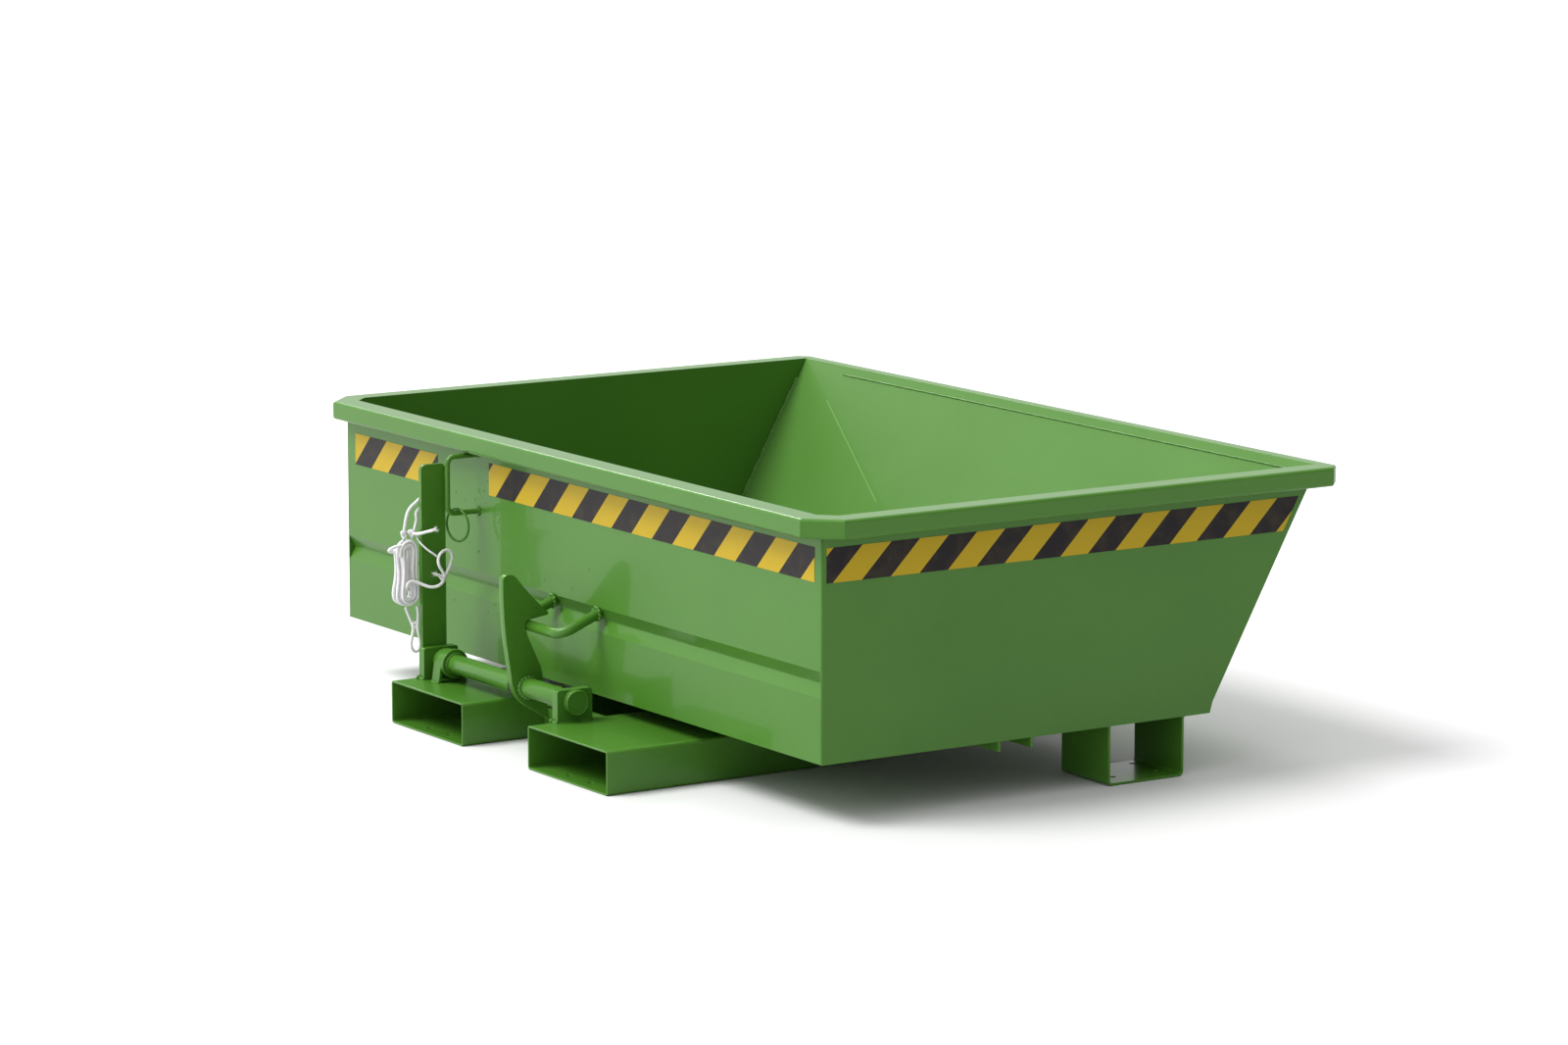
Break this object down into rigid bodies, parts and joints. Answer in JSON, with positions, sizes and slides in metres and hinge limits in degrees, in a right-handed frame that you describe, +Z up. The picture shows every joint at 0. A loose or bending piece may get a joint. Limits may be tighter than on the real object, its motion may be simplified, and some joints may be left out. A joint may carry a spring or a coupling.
{
  "type": "self dumping hopper",
  "caption": "Low steel bin with a slanted pouring front that tips on fork pockets, held by a rope operated hook latch, with castor feet, a folded rim and hazard tape.",
  "frame": {"origin": "middle of the base on the floor, between the pockets' mouths and the pouring edge", "axes": "+X to the right seen from the latch side, +Y from the latch to the pouring edge, +Z up"},
  "size_m": [1.444, 1.0426, 0.443],
  "materials": {
    "green_paint": "gloss green paint",
    "axle_steel": "bright turned steel",
    "zinc": "zinc plated",
    "hazard_tape": "adhesive film in slanted yellow and black stripes",
    "rope": "white braided rope with pale flecks",
    "spring_steel": "dark spring steel"
  },
  "bodies": {
    "chassis": {"fork_pocket_left": "green_paint", "fork_pocket_right": "green_paint", "pivot_plate_left_outer": "green_paint", "pivot_plate_left_inner": "green_paint", "pivot_plate_right_inner": "green_paint", "pivot_plate_right_outer": "green_paint", "pivot_axle": "axle_steel", "axle_washers": "zinc", "split_pins": "zinc", "cross_member_rear": "green_paint", "cross_member_front": "green_paint", "return_spring": "spring_steel", "shaft_bracket_left": "green_paint", "shaft_bracket_right": "green_paint", "bearing_strap": "green_paint"},
    "bin": {"side_plate_left": "green_paint", "side_plate_right": "green_paint", "rear_wall": "green_paint", "bottom_plate": "green_paint", "front_slope": "green_paint", "rim_rear": "green_paint", "rim_front": "green_paint", "rim_left": "green_paint", "rim_right": "green_paint", "rim_corners": "green_paint", "under_flat_rear": "green_paint", "under_flat_front": "green_paint", "foot_left": "green_paint", "foot_right": "green_paint", "hinge_lug_left_outer": "green_paint", "hinge_lug_left_inner": "green_paint", "hinge_lug_right_inner": "green_paint", "hinge_lug_right_outer": "green_paint", "strike_bar": "green_paint", "bail": "green_paint", "tape_rear_right": "hazard_tape", "tape_rear_left": "hazard_tape", "tape_side_right": "hazard_tape", "tape_side_left": "hazard_tape"},
    "latch": {"latch_shaft": "green_paint", "shaft_collar": "green_paint", "end_cap": "green_paint", "hook_welds": "green_paint", "hook_plate": "green_paint", "release_lever": "green_paint", "rope_pin": "green_paint"},
    "rope": {"rope_hank": "rope", "rope_hanger": "rope", "rope_eye": "rope", "rope_eye_end": "rope", "rope_cut_end": "rope", "rope_tie": "rope", "rope_tail": "rope"},
    "ring": {"ring": "green_paint"}
  },
  "joints": [
    {"name": "bin_tip", "type": "hinge", "parent": "chassis", "child": "bin", "pos_m": [0, -0.0447, 0.077], "axis": [-1, 0, 0], "range_deg": [0, 90]},
    {"name": "latch_turn", "type": "hinge", "parent": "chassis", "child": "latch", "pos_m": [0, -0.4487, 0.0955], "axis": [1, 0, 0], "range_deg": [0, 35], "stiffness_Nm_per_rad": 2, "springref_deg": -57.3, "deforming": ["return_spring"]},
    {"name": "rope_swing", "type": "hinge", "parent": "latch", "child": "rope", "pos_m": [-0.298, -0.4567, 0.342], "axis": [-1, 0, 0], "range_deg": [0, 60]},
    {"name": "ring_swing", "type": "hinge", "parent": "bin", "child": "ring", "pos_m": [-0.27, -0.4157, 0.32], "axis": [0, 1, 0], "range_deg": [-60, 60]}
  ]
}
